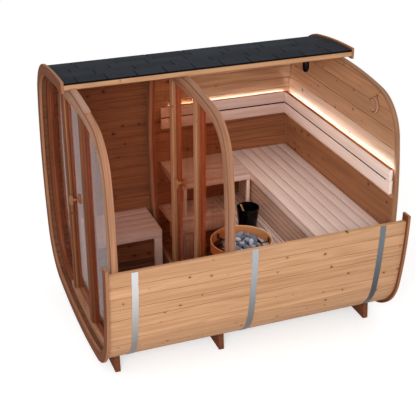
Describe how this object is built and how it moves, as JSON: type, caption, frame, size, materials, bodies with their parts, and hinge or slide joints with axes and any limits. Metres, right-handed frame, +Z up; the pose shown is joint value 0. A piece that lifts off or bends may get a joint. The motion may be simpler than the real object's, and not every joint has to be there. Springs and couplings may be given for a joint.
{
  "type": "cube sauna",
  "caption": "Rounded-square wooden garden sauna shown as a cutaway, with glazed front, glazed partition, two hinged glass doors, benches, heater and shingled roof.",
  "frame": {"origin": "centre of the overall box on the ground under the cradles", "axes": "+X along the barrel from the glazed front to the rear wall, -Y towards the cutaway side, +Z up"},
  "size_m": [2.46, 2.1312, 2.1497],
  "materials": {
    "cradle_wood": "dark stained timber, matt",
    "stave_wood": "heat-treated pine boards, oiled",
    "ring_wood": "heat-treated pine, oiled",
    "frame_wood": "laminated heat-treated pine, oiled",
    "bench_wood": "pale heat-treated alder, planed",
    "handle_wood": "turned and chamfered hardwood, oiled",
    "hoop_wood": "thin bent wood, planed",
    "shingle": "mineral-surfaced bitumen shingles, matt",
    "band_steel": "galvanised steel strip",
    "hinge_steel": "satin steel",
    "front_glass": "tempered glass, lightly tinted",
    "partition_glass": "tempered bronze glass",
    "vent_wood": "turned wooden cover",
    "light_strip": "diffuser of a warm white light strip",
    "lamp_black": "matt black paint",
    "heater_black": "matt black heat-proof paint",
    "stones": "broken grey olivine stones",
    "bucket_black": "satin black"
  },
  "bodies": {
    "building": {"cradle_front": "cradle_wood", "cradle_middle": "cradle_wood", "cradle_rear": "cradle_wood", "floor_staves": "stave_wood", "near_wall_staves": "stave_wood", "far_wall_staves": "stave_wood", "roof_staves": "stave_wood", "front_ring": "ring_wood", "rear_ring": "ring_wood", "roof_shingles": "shingle", "band_front": "band_steel", "band_middle": "band_steel", "band_rear": "band_steel", "front_frame": "frame_wood", "front_posts": "frame_wood", "front_side_glass": "front_glass", "front_hinge_plates": "hinge_steel", "partition_frame": "frame_wood", "partition_posts": "frame_wood", "partition_side_glass": "partition_glass", "partition_hinge_plates": "hinge_steel", "rear_wall": "stave_wood", "rear_wall_rim": "ring_wood", "vent_cover": "vent_wood", "changing_bench": "bench_wood", "upper_bench_far": "bench_wood", "upper_bench_end": "bench_wood", "lower_bench_far": "bench_wood", "lower_bench_end": "bench_wood", "bench_riser": "bench_wood", "backrest_far": "bench_wood", "backrest_end": "bench_wood", "led_strips": "light_strip", "spotlight": "lamp_black", "heater": "heater_black", "heater_stones": "stones", "heater_guard": "hoop_wood", "guard_legs": "heater_black", "bucket": "bucket_black", "ladle": "handle_wood"},
    "front_door": {"front_door_glass": "front_glass", "front_door_hinges": "hinge_steel", "front_door_handle": "handle_wood"},
    "partition_door": {"partition_door_glass": "partition_glass", "partition_door_hinges": "hinge_steel", "partition_door_handle": "handle_wood"}
  },
  "joints": [
    {"name": "front_door_hinge", "type": "hinge", "parent": "building", "child": "front_door", "pos_m": [-1.154, -0.239, 1.1], "axis": [0, 0, 1], "range_deg": [0, 100]},
    {"name": "partition_door_hinge", "type": "hinge", "parent": "building", "child": "partition_door", "pos_m": [-0.257, -0.239, 1.1], "axis": [0, 0, 1], "range_deg": [0, 100]}
  ]
}
